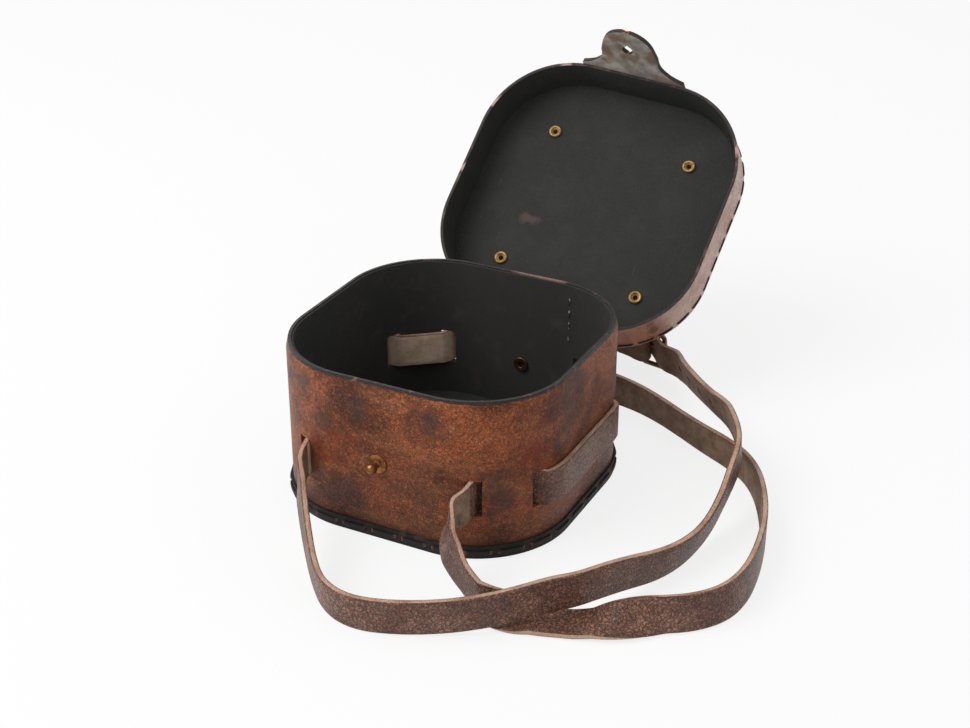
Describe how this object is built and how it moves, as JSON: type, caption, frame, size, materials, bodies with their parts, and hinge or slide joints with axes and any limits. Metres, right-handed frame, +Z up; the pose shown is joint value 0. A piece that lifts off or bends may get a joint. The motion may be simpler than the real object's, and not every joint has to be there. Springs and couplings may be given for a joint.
{
  "type": "sextant box",
  "caption": "Round-cornered leather instrument case with a telescoping hinged lid laid open, a brass stud with a buttoning tongue, and a buckled carrying strap woven through its wall.",
  "frame": {"origin": "centre of the base's underside, on the table", "axes": "+Z up, front with the stud towards -Y, hinge towards +Y, +X to the right seen from the front"},
  "size_m": [0.2161, 0.3163, 0.16],
  "materials": {
    "case_leather": "hand-dyed reddish brown hide, rubbed",
    "tongue_leather": "grey flesh side with rust stains",
    "strap_leather": "pebbled dark brown hide, tan cut edges",
    "black_lining": "matt black skiver",
    "black_lace": "flat waxed lace",
    "thread": "waxed linen",
    "brass": "aged"
  },
  "bodies": {
    "case": {"base_plate": "case_leather", "base_band": "case_leather", "base_lacing": "black_lace", "case_wall": "case_leather", "case_lining": "black_lining", "floor_lining": "black_lining", "wall_seam_thread": "thread", "stud": "brass", "stud_screw": "brass", "hinge_leaf_case": "case_leather", "strap_rivet": "brass", "rivet_burr": "brass", "strap_woven": "strap_leather", "strap_long_end": "strap_leather", "strap_short_end": "strap_leather", "buckle_frame": "brass", "buckle_prong": "brass", "buckle_rivet": "brass", "strap_keeper": "strap_leather"},
    "lid": {"lid_skirt": "case_leather", "lid_plate": "case_leather", "lid_lining": "black_lining", "lid_lacing": "black_lace", "lid_eyelets": "brass", "lid_caps": "brass", "hinge_leaf_lid": "case_leather", "hinge_stitches": "thread", "tongue_base": "tongue_leather", "tongue_stitches": "thread"},
    "tongue": {"closure_tongue": "tongue_leather"}
  },
  "joints": [
    {"name": "lid_hinge", "type": "hinge", "parent": "case", "child": "lid", "pos_m": [0, 0.071, 0.0443], "axis": [0.9988, -0.0183, -0.0445], "range_deg": [-12, 136.2]},
    {"name": "tongue_flex", "type": "hinge", "parent": "lid", "child": "tongue", "pos_m": [0.00592, 0.17823, 0.13431], "axis": [-0.996, 0.0007, 0.0892], "range_deg": [-16, 60]}
  ]
}
